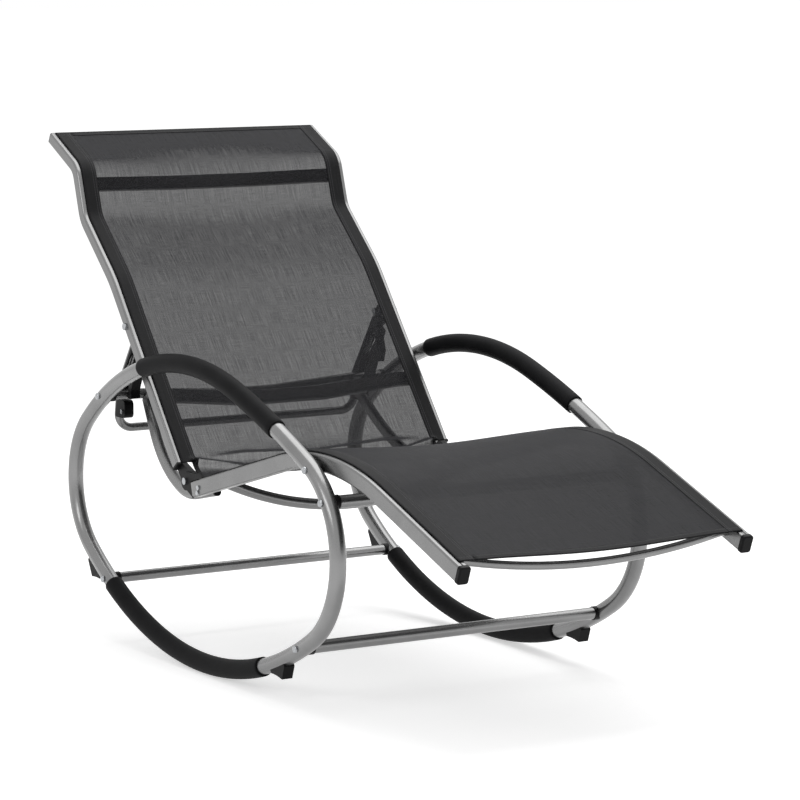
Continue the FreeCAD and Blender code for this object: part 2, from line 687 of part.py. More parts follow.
def reversed_path(path):
    """The same path walked the other way."""
    back = []
    for piece in reversed(path):
        swapped = dict(piece, start=piece["end"], end=piece["start"])
        if "way" in piece:
            swapped["way"] = -piece["way"]
        back.append(swapped)
    return back


def end_frame(path, side):
    """Placement at a path's end: local +Y runs on out of the end, +Z is the rail's top side."""
    last = path[-1]
    run = (last["end"] - last["start"]).normalize()
    place = V(side * RAIL_X, last["end"].x, last["end"].y)
    return FreeCAD.Placement(place, FreeCAD.Rotation(V(1, 0, 0), angle_of(run)))


def rail_cap(name, placement, depth, kind):
    """Moulded cap on a rail's end, with rounded edges; kind is the start of its sizes' names."""
    body = new_body(name)
    sketch = new_sketch(body, "face", "XZ_Plane")
    lip = kind + "_lip"
    rounded_rectangle(sketch, "rail_width + 2 * " + lip, "%s + 2 * %s" % (depth, lip), "rail_corner + " + lip)
    pad = body.newObject("PartDesign::Pad", "head")
    pad.Profile = sketch
    pad.Reversed = True
    bind(pad, "Length", sheet_names(kind + "_length"))
    doc.recompute()
    outer = [e for n, e in enumerate(pad.Shape.Edges)]
    far = max(e.CenterOfMass.y for e in outer)
    names = ["Edge%d" % (n + 1) for n, e in enumerate(outer) if abs(e.CenterOfMass.y - far) < 1e-6]
    fillet = body.newObject("PartDesign::Fillet", "soft_edge")
    fillet.Base = (pad, names)
    bind(fillet, "Radius", sheet_names(kind + "_length / 3"))
    doc.recompute()
    plug = new_sketch(body, "plug_section", "XZ_Plane")
    low = -size(depth + " / 2 - rail_wall") + size("seat_fit")
    tall = size(depth + " - channel_depth - 3 * rail_wall - 2 * seat_fit")
    rounded_rectangle(plug, "rail_width - 2 * rail_wall - 2 * seat_fit",
                      depth + " - channel_depth - 3 * rail_wall - 2 * seat_fit",
                      "rail_corner - rail_wall", V(0, low + tall / 2, 0))
    push = body.newObject("PartDesign::Pad", "plug")
    push.Profile = plug
    bind(push, "Length", sheet_names("cap_plug"))
    body.Placement = placement
    return body


def build_seat_rails():
    screws = support_screw_places()
    for side_name, side in SIDES.items():
        holes = [(SEAT_BOLT, "bolt_diameter + 2 * bolt_fit")]
        holes += [(place, "screw_diameter + 2 * bolt_fit") for place in screws]
        rail("seat_rail_" + side_name, SEAT_PATH, side, "seat_rail_depth", holes)
        front = end_frame(reversed_path(SEAT_PATH), side)
        front.Rotation = front.Rotation.multiply(FreeCAD.Rotation(V(0, 1, 0), 180))
        rail_cap("seat_rail_cap_" + side_name, front, "seat_rail_depth", "seat_cap")
    spacers, bolts = [], []
    gap = HOOP_X - HOOP_R - RAIL_OUT
    radius = size("bolt_diameter")
    hole = size("bolt_diameter / 2 + bolt_fit")
    for side in SIDES.values():
        spacer = x_cylinder(SEAT_BOLT, side, RAIL_OUT, gap + 3, radius + 3)
        spacer = spacer.cut(hoop_rod(size("seat_bolt_turn"), side, HOOP_R + size("seat_fit")))
        spacers.append(spacer.cut(x_cylinder(SEAT_BOLT, side, RAIL_OUT - 1, gap + 5, hole)))
        nut = x_cylinder(SEAT_BOLT, side, RAIL_IN - 5, 5, radius)
        bolts.append(bolt(SEAT_BOLT, side, RAIL_IN - 5, HOOP_X + HOOP_R).fuse(nut))
    solid("seat_rail_spacers", Part.makeCompound(spacers))
    solid("seat_rail_bolts", Part.makeCompound(bolts))


# ---------------------------------------------------------------- bars that spread the rails
def across(points, radii):
    """A symmetric path across the chair from half its corners, which run in from the left end."""
    full = points + [V(-p.x, p.y, 0) for p in reversed(points)]
    return round_corners([V(p.x, p.y, 0) for p in full], radii + radii[::-1])


def stepped(name, end, bow_name=None):
    """Path across the chair whose middle run is set off by the bow, with a slope at each side."""
    flat, slope, bend = (size(name + part) for part in ("_flat", "_slope_run", "_bend_radius"))
    bow = size((bow_name or name) + "_bow")
    return across([V(-end, 0, 0), V(-end + flat, 0, 0), V(-end + flat + slope, bow, 0)], [bend, bend])


def bowed(dip):
    """Path across the chair: square to each rail, then at the dip angle, then one wide arc."""
    half = RAIL_IN - size("spreader_stub")
    rise = math.tan(math.radians(dip))
    radius = (half / math.cos(math.radians(dip)) - size("spreader_straight")) / rise
    stub = size("spreader_stub_radius")
    return round_corners([V(-RAIL_IN, 0, 0), V(-half, 0, 0), V(0, half * rise, 0), V(half, 0, 0),
                          V(RAIL_IN, 0, 0)], [stub, radius, stub])


def cross_tube(name, place, tilt, path, draw_section):
    """Bent tube between the rails: its bend points along the tilt angle of the (y, z) plane."""
    body = new_body(name)
    spine = spine_sketch(body, path)
    doc.recompute()
    pipe(body, "AdditivePipe", spine, draw_section, "tube")
    across_x = FreeCAD.Rotation(V(0, 0, 1), -90)
    roll = FreeCAD.Rotation(V(1, 0, 0), tilt - 90)
    start = V(-path[-1]["end"].x, place.x, place.y)
    body.Placement = FreeCAD.Placement(start, roll.multiply(across_x))
    return body


def build_spreaders():
    for name in ("front", "rear"):
        y = size(name + "_spreader_y")
        outer = name + "_spreader_diameter"

        def ring(section):
            circle(section, outer)
            circle(section, outer + " - 2 * spreader_wall")

        place = V(y, seat_height(y) - size("rail_wall"), 0)
        cross_tube("seat_spreader_" + name, place, -90, bowed(size(name + "_spreader_dip")), ring)


def seat_height(y):
    """Height of the seat rail's centre line at a place on one of its straight ends."""
    first, last = SEAT_PATH[0], SEAT_PATH[-1]
    run = first if y < size("seat_crest_y") else last
    share = (y - run["start"].x) / (run["end"].x - run["start"].x)
    return run["start"].y + share * (run["end"].y - run["start"].y)


# ---------------------------------------------------------------- support arms
def arm_path():
    """Support arm in its own leaning plane: from under the seat rail to the upper crossbar."""
    lean = math.cos(math.radians(size("arm_tilt")))
    start = V(size("arm_front_y"), size("arm_front_z"), 0)
    way = size("arm_heading")
    run, rise = heading(way), heading(way + 90)
    low, high = size("arm_low_radius"), size("arm_radius")
    begin = start + run * size("arm_low_run")
    centre = begin + rise * low
    way += size("arm_low_turn")
    middle = centre - heading(way + 90) * low
    upper = middle + heading(way + 90) * high
    reach = CATCH - start
    target = start + run * reach.dot(run) + rise * (reach.dot(rise) / lean)
    apart = target - upper
    leave = angle_of(apart) + math.degrees(math.asin(high / apart.Length))
    end = upper - heading(leave + 90) * high
    stop = target - heading(leave) * size("rear_bar_diameter / 2 + arm_stop_gap")
    return [line(start, begin), arc(centre, low, begin, middle, 1), arc(upper, high, middle, end, 1),
            line(end, stop)]


def support_screw_places():
    """Where two screws, one above the other, hold each support arm to its seat rail."""
    y = size("arm_screw_y")
    middle = V(y, seat_height(y), 0)
    return [middle + V(-1, -0.5, 0), middle + V(2, -10.2, 0)]


def arm_x():
    """Distance of a support arm's front run from the chair's middle, its edge near the rail."""
    tilt = math.radians(size("arm_tilt"))
    corner = size("arm_width / 2 - 0.5")
    reach = (size("arm_depth / 2") - corner) * math.sin(tilt) + 0.5 * math.cos(tilt) + corner
    return RAIL_IN - size("arm_gap") - reach


def leaning(side):
    """Rotation about an arm's front run that leans the arm inward towards its top."""
    along = heading(size("arm_heading"))
    return FreeCAD.Rotation(V(0, along.x, along.y), -side * size("arm_tilt"))


def build_support_arms():
    path = arm_path()
    for side_name, side in SIDES.items():
        body = new_body("support_arm_" + side_name)
        spine = spine_sketch(body, path)
        doc.recompute()

        def skin(section):
            rounded_rectangle(section, "arm_width", "arm_depth", "arm_width / 2 - 0.5")

        def hollow(section):
            rounded_rectangle(section, "arm_width - 2 * arm_wall", "arm_depth - 2 * arm_wall",
                              "arm_width / 2 - 0.5 - arm_wall")

        pipe(body, "AdditivePipe", spine, skin, "skin")
        pipe(body, "SubtractivePipe", spine, hollow, "bore")
        body.Placement = along_path(path, side * arm_x(), leaning(side))


def build_arm_fittings():
    """End plugs, rail screws and crossbar bolts of the two support arms."""
    path = arm_path()
    for side_name, side in SIDES.items():
        body = new_body("support_arm_plug_" + side_name)
        face = new_sketch(body, "face", "XZ_Plane")
        rounded_rectangle(face, "arm_width", "arm_depth", "arm_width / 2 - 0.5")
        pad = body.newObject("PartDesign::Pad", "plug")
        pad.Profile = face
        bind(pad, "Length", sheet_names("arm_plug_length"))
        body.Placement = along_path(path, side * arm_x(), leaning(side))
    screws = []
    head_h = size("screw_head_height")
    for side in SIDES.values():
        for place in support_screw_places():
            head = x_cylinder(place, side, RAIL_OUT, head_h, size("screw_head_diameter / 2"))
            shank = x_cylinder(place, side, RAIL_IN, RAIL_OUT - RAIL_IN, size("screw_diameter / 2"))
            screws.append(head.fuse(shank))
    solid("support_arm_screws", Part.makeCompound(screws))


# ---------------------------------------------------------------- recline hinge
def rail_end(path, depth):
    """Lowest end of a rail's path: its place, its run out of the rail, and its corners."""
    last = path[-1] if path is SEAT_PATH else reversed_path(path)[-1]
    run = (last["end"] - last["start"]).normalize()
    up = V(-run.y, run.x, 0) if path is SEAT_PATH else V(run.y, -run.x, 0)
    half = size(depth + " / 2")
    return last["end"], run, up, last["end"] + up * half, last["end"] - up * half


def eye(body, feature, side, inner_x, width):
    """Round eye about the recline hinge, padded in X."""
    sketch = new_sketch(body, feature + "_outline", "YZ_Plane", side * inner_x)
    circle(sketch, "2 * hinge_eye_radius", HINGE)
    pad = body.newObject("PartDesign::Pad", feature)
    pad.Profile = sketch
    pad.Reversed = side < 0
    bind(pad, "Length", sheet_names(width))
    doc.recompute()


def rail_plug(body, side, path, depth):
    """Tongue that fills the rail's cavity a little way in from its end."""
    place, run, up, _, low = rail_end(path, depth)
    clear = size("rail_wall + plug_clearance")
    tall = size(depth + " - channel_depth - 3 * rail_wall - 2 * plug_clearance")
    deep = size("cap_plug")
    foot = low + up * clear
    corners = [foot, foot + up * tall, foot + up * tall - run * deep, foot - run * deep]
    plate(None, closed(corners), side, RAIL_IN + clear, "rail_width - 2 * rail_wall - 2 * plug_clearance",
          body, "plug")


def build_hinges():
    pins = []
    lug_in = RAIL_OUT - size("hinge_lug_width")
    eye_in = RAIL_IN + size("hinge_side_gap")
    eye_width = "rail_width - hinge_lug_width - 2 * hinge_side_gap"
    full_width = "rail_width - hinge_side_gap"
    reach = size("hinge_eye_radius")
    for side_name, side in SIDES.items():
        lug = new_body("hinge_bracket_" + side_name)
        eye(lug, "eye", side, lug_in, "hinge_lug_width")
        _, run, up, top, low = rail_end(SEAT_PATH, "seat_rail_depth")
        wedge = [top - run * size("hinge_lobe_length"),
                 top - run * size("hinge_lobe_length - 8") + up * size("hinge_lobe_height"),
                 HINGE + up * reach, HINGE - up * reach, low, top]
        plate(None, closed(wedge), side, lug_in, "hinge_lug_width", lug, "lobe")
        flange = size("flange_thickness")
        plate(None, closed([low, top, top + run * flange, low + run * flange]), side, eye_in,
              full_width, lug, "flange")
        rail_plug(lug, side, SEAT_PATH, "seat_rail_depth")
        cross_holes(lug, [HINGE], "hinge_pin_diameter + 2 * bolt_fit")

        knuckle = new_body("hinge_knuckle_" + side_name)
        eye(knuckle, "eye", side, eye_in, eye_width)
        _, run, up, top, low = rail_end(BACK_PATH, "back_rail_depth")
        web = [top, low, HINGE + V(reach + 3, 2 - reach, 0), HINGE - V(0, reach, 0), HINGE + V(0, reach, 0)]
        plate(None, closed(web), side, eye_in, eye_width, knuckle, "web")
        flange = size("knuckle_flange")
        plate(None, closed([low, top, top + run * flange, low + run * flange]), side, eye_in,
              full_width, knuckle, "flange")
        rail_plug(knuckle, side, BACK_PATH, "back_rail_depth")
        cross_holes(knuckle, [HINGE], "hinge_pin_diameter + 2 * hinge_play")

        radius = size("hinge_pin_diameter / 2")
        shank = x_cylinder(HINGE, side, RAIL_IN - 4, RAIL_OUT - RAIL_IN + 4, radius)
        head = x_cylinder(HINGE, side, RAIL_OUT, size("bolt_head_height"), size("bolt_head_diameter / 2"))
        nut = x_cylinder(HINGE, side, RAIL_IN - 5, 5, size("bolt_diameter"))
        pins.append(shank.fuse(head).fuse(nut))
    solid("hinge_pins", Part.makeCompound(pins))


# ---------------------------------------------------------------- back frame
def build_back_frame():
    for side_name, side in SIDES.items():
        rail("back_rail_" + side_name, BACK_PATH, side, "back_rail_depth",
             [(PIVOT, "bolt_diameter + 2 * bolt_fit")])
        rail_cap("back_rail_cap_" + side_name, end_frame(BACK_PATH, side), "back_rail_depth", "back_cap")
    for name in ("head", "low"):
        place, run = point_along(BACK_PATH, size(name + "_bar_place"))

        def skin(section):
            rounded_rectangle(section, name + "_bar_height", "back_bar_depth", "back_bar_depth / 2 - 0.5")

        path = stepped("back_bar", RAIL_IN, name + "_bar")
        body = cross_tube("back_bar_" + name, place, run - 90, path, skin)

        def hollow(section):
            rounded_rectangle(section, name + "_bar_height - 2 * back_bar_wall",
                              "back_bar_depth - 2 * back_bar_wall",
                              "back_bar_depth / 2 - 0.5 - back_bar_wall")

        spine = [o for o in body.Group if o.Name.startswith("spine")][0]
        pipe(body, "SubtractivePipe", spine, hollow, "bore")


# ---------------------------------------------------------------- recline bail
def bail_points():
    """Corners of the bail's centre line: down one arm, across its foot, and up the other."""
    knee = V(size("bail_knee_y"), size("bail_knee_z"), 0)
    foot = V(size("bail_foot_y"), size("bail_foot_z"), 0)
    up = (PIVOT - knee).normalize()
    top = PIVOT + up * size("bail_top")
    arm = [V(BAIL_X, p.x, p.y) for p in (top, knee, foot)]
    return arm + [V(-p.x, p.y, p.z) for p in reversed(arm)]


def rounded_wire(points, radii):
    """Wire of straight runs in space whose corners are rounded by tangent arcs."""
    edges = []
    last = points[0]
    for before, corner, after, radius in zip(points, points[1:], points[2:], radii):
        first, second = (corner - before).normalize(), (after - corner).normalize()
        half = first.getAngle(second) / 2
        cut = radius * math.tan(half)
        begin, finish = corner - first * cut, corner + second * cut
        inward = (second - first).normalize()
        middle = corner + inward * radius * (1 / math.cos(half) - 1)
        edges += [Part.LineSegment(last, begin).toShape(), Part.Arc(begin, middle, finish).toShape()]
        last = finish
    edges.append(Part.LineSegment(last, points[-1]).toShape())
    return Part.Wire(edges)


def bail_rod(radius, lengthen=0):
    """Solid rod of a given radius along the bail's centre line."""
    points = bail_points()
    ahead = (points[1] - points[0]).normalize()
    points[0] = points[0] - ahead * lengthen
    points[-1] = V(-points[0].x, points[0].y, points[0].z)
    knee, corner = size("bail_knee_radius"), size("bail_corner_radius")
    wire = rounded_wire(points, [knee, corner, corner, knee])
    section = Part.Wire(Part.Circle(points[0], ahead, radius).toShape())
    return wire.makePipeShell([section], True, False)


def turned(point, centre, angle):
    """A (y, z) point turned about another."""
    return centre + FreeCAD.Rotation(V(0, 0, 1), angle).multVec(point - centre)


def catch_in_bail(lean):
    """Where the upper rear crossbar lies, seen from the bail, once the back has leant this far."""
    seen_from_back = turned(CATCH, HINGE, lean)
    return turned(seen_from_back, PIVOT, lean * size("bail_ratio"))


def capsule(first, last, radius):
    """Closed outline round two places."""
    along = (last - first).normalize()
    off = V(-along.y, along.x, 0) * radius
    return [line(first - off, last - off), arc(last, radius, last - off, last + off, 1),
            line(last + off, first + off), arc(first, radius, first + off, first - off, 1)]


def largest(shape):
    """The largest solid of a cut shape, without the slivers that the cut left."""
    return max(shape.Solids, key=lambda piece: piece.Volume)


def rack_shape(side):
    """Toothed guide that hangs the back on the upper rear crossbar, its front edge scalloped."""
    width = size("rack_width")
    inner = BAIL_X - width / 2 - 1.5
    knee = V(size("bail_knee_y"), size("bail_knee_z"), 0)
    floor = CATCH.y - size("rack_wall")
    run = (knee - PIVOT).normalize()
    edge = [V(-22, -18, 0), V(0, -30, 0), V(-11, -39, 0), V(-4, -53, 0), V(-11, -78, 0), V(-4, -99, 0),
            V(16, -101, 0), V(23, -115, 0), V(27, -124, 0)]
    front = [PIVOT + p for p in edge]
    points = front + [V(front[-1].x, floor, 0), V(knee.x + 3, floor, 0), knee, PIVOT + run * 14,
                      PIVOT + V(-12, -9, 0)]
    shape = prism(closed(points), side, inner, width)
    reach = size("rear_bar_diameter / 2 + rack_clearance")
    steps = 6
    lane = [catch_in_bail(size("recline") * n / steps) for n in range(steps + 1)]
    away = (lane[0] - lane[1]).normalize()
    lane = [lane[0] + away * reach * 2] + lane
    cuts = [capsule(a, b, reach) for a, b in zip(lane, lane[1:])]
    aside = V(-away.y, away.x, 0)
    for n in (1, 1 + steps // 2, 1 + steps):
        cuts.append(capsule(lane[n], lane[n] + aside * size("rack_notch"), reach))
    for cut in cuts:
        shape = shape.cut(prism(cut, side, inner - 1, width + 2))
    return largest(shape.cut(bail_rod(size("bail_diameter / 2 + seat_fit"), 20)))


def build_bail():
    outer = bail_rod(size("bail_diameter / 2"))
    tube_shape = outer.cut(bail_rod(size("bail_diameter / 2 - bail_wall"), 1))
    for side in SIDES.values():
        tube_shape = tube_shape.cut(x_cylinder(PIVOT, side, BAIL_X - 12, 24,
                                               size("bolt_diameter / 2 + hinge_play")))
    solid("recline_bail", tube_shape)
    rod = bail_rod(size("bail_diameter / 2 + seat_fit"), 20)
    block_top = CATCH.y - size("rear_bar_diameter / 2 + block_clearance")
    low = V(size("block_front_y"), block_top - size("block_height"), 0)
    length, tall = size("block_length"), size("block_height")
    corners = [low, low + V(length, 0, 0), low + V(length, tall, 0), low + V(0, tall, 0)]
    bolt_place = V(size("block_screw_y"), size("block_screw_z"), 0)
    width = size("rack_width")
    inner = BAIL_X - width / 2 - 1.5
    hole = size("screw_diameter / 2 + bolt_fit")
    bolts, pivots = [], []
    for side_name, side in SIDES.items():
        solid("recline_rack_" + side_name, rack_shape(side))
        block = prism(closed(corners, size("block_corner")), side, inner, width)
        block = block.cut(rod).cut(x_cylinder(bolt_place, side, inner - 1, width + 2, hole))
        solid("bail_block_" + side_name, largest(block))
        shank = x_cylinder(bolt_place, side, inner, width, size("screw_diameter / 2"))
        head = x_cylinder(bolt_place, side, inner + width, size("screw_head_height"),
                          size("screw_head_diameter / 2"))
        bolts.append(shank.fuse(head))
        radius = size("bolt_diameter / 2")
        pin = x_cylinder(PIVOT, side, BAIL_X - 13, RAIL_OUT - BAIL_X + 13, radius)
        head = x_cylinder(PIVOT, side, RAIL_OUT, size("bolt_head_height"), size("bolt_head_diameter / 2"))
        collar_from = BAIL_X + size("bail_diameter / 2") + 0.3
        collar = x_cylinder(PIVOT, side, collar_from, RAIL_IN - collar_from, 2 * radius)
        nut = x_cylinder(PIVOT, side, BAIL_X - 13, 4.6, 2 * radius)
        pivots.append(pin.fuse(head).fuse(collar).fuse(nut))
    solid("bail_block_screws", Part.makeCompound(bolts))
    solid("bail_pivot_bolts", Part.makeCompound(pivots))


# ---------------------------------------------------------------- sling fabric
def trimmed(path, front, back):
    """The path without a stretch of its first and of its last run."""
    first, last = path[0], path[-1]
    ahead = (first["end"] - first["start"]).normalize()
    behind = (last["end"] - last["start"]).normalize()
    return ([line(first["start"] + ahead * front, first["end"])] + path[1:-1]
            + [line(last["start"], last["end"] - behind * back)])


def fabric(name, path, depth):
    """Sling stretched between two rails, lying just above their inner edges."""
    body = new_body(name)
    spine = spine_sketch(body, path)
    doc.recompute()
    height = size(depth + " / 2 + fabric_gap + fabric_thickness / 2")

    def sheet_section(section):
        rounded_rectangle(section, "rail_spacing + 2 * channel_offset - channel_slot", "fabric_thickness",
                          "fabric_thickness / 2 - 0.1", V(0, height, 0))

    pipe(body, "AdditivePipe", spine, sheet_section, "sheet")
    body.Placement = along_path(path, 0)


def build_fabric():
    foot, neck, head = size("fabric_foot_end"), size("fabric_hinge_gap"), size("fabric_head_end")
    fabric("seat_fabric", trimmed(SEAT_PATH, foot, 2), "seat_rail_depth")
    fabric("back_fabric", trimmed(BACK_PATH, neck, head), "back_rail_depth")


build_hoops()
build_foam()
build_crossbars()
build_upper_bar()
build_bar_fittings()
build_feet()
build_seat_rails()
build_spreaders()
build_support_arms()
build_arm_fittings()
build_hinges()
build_back_frame()
build_bail()
build_fabric()
doc.recompute()


# ---------------------------------------------------------------- checks and STEP files
def write_parts():
    """Check every object and write one STEP file per sub-part."""
    for thing in doc.Objects:
        if "Invalid" in thing.State or "Error" in thing.State:
            raise RuntimeError("%s failed: %s" % (thing.Label, thing.State))
    os.makedirs("parts", exist_ok=True)
    pieces = [o for o in doc.Objects if o.TypeId in ("PartDesign::Body", "Part::Feature")]
    for piece in pieces:
        shape = piece.Shape
        if shape.isNull() or not shape.isValid():
            raise RuntimeError(piece.Label + " has no valid shape")
        shape.exportStep(os.path.join("parts", piece.Label + ".step"))
    print("%d sub-parts" % len(pieces))


write_parts()
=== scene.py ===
"""Looks of the camp rocking chair: finishes, cloth sling, foam grips and small hardware."""

import json
import math

import bpy
import numpy as np
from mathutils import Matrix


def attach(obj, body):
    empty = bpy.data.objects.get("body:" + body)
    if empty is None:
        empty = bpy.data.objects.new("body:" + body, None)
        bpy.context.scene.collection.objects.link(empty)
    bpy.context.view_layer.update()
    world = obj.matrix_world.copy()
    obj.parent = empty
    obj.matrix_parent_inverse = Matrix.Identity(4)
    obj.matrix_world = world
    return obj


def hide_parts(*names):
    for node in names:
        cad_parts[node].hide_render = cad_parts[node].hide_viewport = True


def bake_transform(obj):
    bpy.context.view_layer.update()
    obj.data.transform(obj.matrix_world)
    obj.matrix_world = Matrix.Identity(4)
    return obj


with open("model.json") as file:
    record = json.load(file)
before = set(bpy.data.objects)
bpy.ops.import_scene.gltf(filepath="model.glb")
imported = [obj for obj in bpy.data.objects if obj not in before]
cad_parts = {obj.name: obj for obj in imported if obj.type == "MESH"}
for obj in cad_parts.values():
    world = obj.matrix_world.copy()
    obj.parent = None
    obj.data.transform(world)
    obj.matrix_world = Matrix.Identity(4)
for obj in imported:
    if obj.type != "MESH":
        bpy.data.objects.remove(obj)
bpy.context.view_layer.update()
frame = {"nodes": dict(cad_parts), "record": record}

MM = 0.001
SIDES = {"right": -1, "left": 1}


# ---------------------------------------------------------------- colours and shader nodes
def linear(hex_colour):
    """sRGB hex to linear: x / 12.92 below 0.04045, else ((x + 0.055) / 1.055) to the power 2.4."""
    srgb = np.array([int(hex_colour[i:i + 2], 16) for i in (1, 3, 5)]) / 255
    flat = np.where(srgb <= 0.04045, srgb / 12.92, ((srgb + 0.055) / 1.055) ** 2.4)
    return (*flat.tolist(), 1.0)


def node(tree, kind, inputs=(), **settings):
    """Adds a shader node; each input is (name or number, value or the socket it is fed from)."""
    made = tree.nodes.new("ShaderNode" + kind)
    for name, value in settings.items():
        setattr(made, name, value)
    for place, value in inputs:
        if isinstance(value, bpy.types.NodeSocket):
            tree.links.new(value, made.inputs[place])
        else:
            made.inputs[place].default_value = value
    return made


def material(name, inputs):
    """A new material: its tree, its Principled shader with plain inputs set, and itself."""
    made = bpy.data.materials.new(name)
    made.use_nodes = True
    tree = made.node_tree
    shader = tree.nodes["Principled BSDF"]
    for place, value in inputs:
        shader.inputs[place].default_value = value
    return tree, shader, made


def scaled_noise(tree, stretch, detail=4, roughness=0.55):
    """Noise on object coordinates; stretch is the features per metre along x, y and z."""
    place = node(tree, "TexCoord")
    spread = node(tree, "Mapping", [("Vector", place.outputs["Object"]), ("Scale", stretch)])
    return node(tree, "TexNoise", [("Vector", spread.outputs[0]), ("Scale", 1.0),
                                   ("Detail", detail), ("Roughness", roughness)]).outputs["Fac"]


def two_tone(tree, factor, low, high, first, last):
    """Colour ramp between two hex colours over a stretch of a 0 to 1 factor."""
    ramp = node(tree, "ValToRGB", [("Fac", factor)])
    ramp.color_ramp.elements[0].position, ramp.color_ramp.elements[1].position = first, last
    ramp.color_ramp.elements[0].color = linear(low)
    ramp.color_ramp.elements[1].color = linear(high)
    return ramp.outputs["Color"]


def ranged(tree, factor, low, high):
    """A 0 to 1 factor brought to the range low to high."""
    return node(tree, "MapRange", [("Value", factor), ("To Min", low), ("To Max", high)]).outputs[0]


def bump(tree, shader, height, depth, strength=1.0):
    """Surface relief: height is 0 to 1 and depth its full height in metres."""
    made = node(tree, "Bump", [("Height", height), ("Distance", depth), ("Strength", strength)])
    tree.links.new(made.outputs[0], shader.inputs["Normal"])


def powder_coat(name, low, high, metallic, roughness):
    """Silver powder coat, sprayed and baked: metal flake in a satin film with fine orange peel."""
    tree, shader, made = material(name, [("Metallic", metallic)])
    cloud = scaled_noise(tree, (9, 9, 9), 3)             # thickness of the film, about 110 mm
    tree.links.new(two_tone(tree, cloud, low, high, 0.35, 0.65), shader.inputs["Base Color"])
    peel = scaled_noise(tree, (420, 420, 420), 2)        # orange peel, 2.4 mm, drawn coarse
    tree.links.new(ranged(tree, peel, roughness - 0.03, roughness + 0.03), shader.inputs["Roughness"])
    bump(tree, shader, peel, 0.000008)
    return made


def moulded_plastic(name, low, high, roughness):
    """Black polypropylene, injection moulded in a spark-eroded tool: fine matt grain."""
    tree, shader, made = material(name, [("IOR", 1.49), ("Specular IOR Level", 0.12)])
    grain = scaled_noise(tree, (900, 900, 900), 3)       # spark grain, 1.1 mm, drawn coarse
    cloud = scaled_noise(tree, (60, 60, 60), 3)
    tree.links.new(two_tone(tree, cloud, low, high, 0.3, 0.7), shader.inputs["Base Color"])
    tree.links.new(ranged(tree, grain, roughness - 0.08, roughness + 0.08), shader.inputs["Roughness"])
    bump(tree, shader, grain, 0.00008)
    return made


def zinc(name, colour, roughness):
    """Steel, bright zinc plated and passivated: a faint cloudy mirror."""
    tree, shader, made = material(name, [("Metallic", 1.0)])
    cloud = scaled_noise(tree, (260, 260, 260), 3)       # plating clouds, about 4 mm
    tree.links.new(two_tone(tree, cloud, colour, "#bfc1c3", 0.3, 0.8), shader.inputs["Base Color"])
    tree.links.new(ranged(tree, cloud, roughness - 0.06, roughness + 0.1), shader.inputs["Roughness"])
    return made


def nbr_foam():
    """NBR foam, extruded with a closed skin: matt near-black with fine cells showing through."""
    tree, shader, made = material("nbr_foam_extruded", [("IOR", 1.45), ("Specular IOR Level", 0.07)])
    cells = node(tree, "TexVoronoi", [("Vector", node(tree, "TexCoord").outputs["Object"]),
                                      ("Scale", 700.0)])     # cells of 1.4 mm, drawn coarse
    cloud = scaled_noise(tree, (26, 26, 26), 4)
    tree.links.new(two_tone(tree, cloud, "#131314", "#1c1c1d", 0.3, 0.7), shader.inputs["Base Color"])
    tree.links.new(ranged(tree, cloud, 0.5, 0.62), shader.inputs["Roughness"])
    bump(tree, shader, cells.outputs["Distance"], 0.0002, 0.5)
    return made


SILVER = powder_coat("steel_powder_coated_silver", "#818181", "#8b8b8b", 0.92, 0.26)
RAIL = powder_coat("aluminium_powder_coated_silver", "#7b7b7b", "#848484", 0.92, 0.28)
PLASTIC = moulded_plastic("polypropylene_moulded_black", "#0a0a0b", "#111112", 0.42)
ZINC = zinc("steel_zinc_plated_bright", "#939598", 0.22)
FOAM = nbr_foam()

FINISHES = {
    "silver_tube": SILVER, "rail_aluminium": RAIL, "black_plastic": PLASTIC, "zinc_steel": ZINC,
    "bare_steel": ZINC, "foam_sleeve": FOAM, "sling_fabric": PLASTIC,
}


# ---------------------------------------------------------------- paths in the side plane (y, z), mm
def rounded_line(corners, radii, step=4.0):
    """Samples straight runs with tangent arcs at the inner corners: each arc starts radius x
    tan(half the turn) before its corner and turns about a centre one radius to the side."""
    corners = np.array(corners, float)
    rows, last = [], corners[0]
    for before, corner, after, radius in zip(corners, corners[1:], corners[2:], radii):
        first = (corner - before) / np.linalg.norm(corner - before)
        second = (after - corner) / np.linalg.norm(after - corner)
        turn = math.atan2(first[0] * second[1] - first[1] * second[0], first @ second)
        cut = radius * math.tan(abs(turn) / 2)
        begin = corner - first * cut
        rows.append(straight(last, begin, step))
        side = np.array([-first[1], first[0]]) * math.copysign(radius, turn)
        centre = begin + side
        angles = turn * np.linspace(0, 1, max(3, int(abs(turn) * radius / step) + 2))[:, None]
        rows.append(centre - side * np.cos(angles) + first * radius * np.sin(np.abs(angles)))
        last = corner + second * cut
    rows.append(straight(last, corners[-1], step))
    path = np.concatenate(rows)
    apart = np.linalg.norm(np.diff(path, axis=0), axis=1)
    return path[np.concatenate([[True], apart > 1e-6])]


def straight(start, end, step):
    """Evenly spaced places from start to end."""
    count = max(2, int(np.linalg.norm(end - start) / step) + 1)
    return start + (end - start) * np.linspace(0, 1, count)[:, None]


def along(path):
    """Distance travelled to each place of a path."""
    return np.concatenate([[0], np.cumsum(np.linalg.norm(np.diff(path, axis=0), axis=1))])


def resampled(path, count):
    """The same path at evenly spaced distances."""
    far = along(path)
    at = np.linspace(0, far[-1], count)
    return np.stack([np.interp(at, far, path[:, k]) for k in range(path.shape[1])], axis=1)


def left_of(path):
    """Unit normals, a quarter turn to the left of the way the path runs."""
    run = np.gradient(path, axis=0)
    run /= np.linalg.norm(run, axis=1, keepdims=True)
    return np.stack([-run[:, 1], run[:, 0]], axis=1)


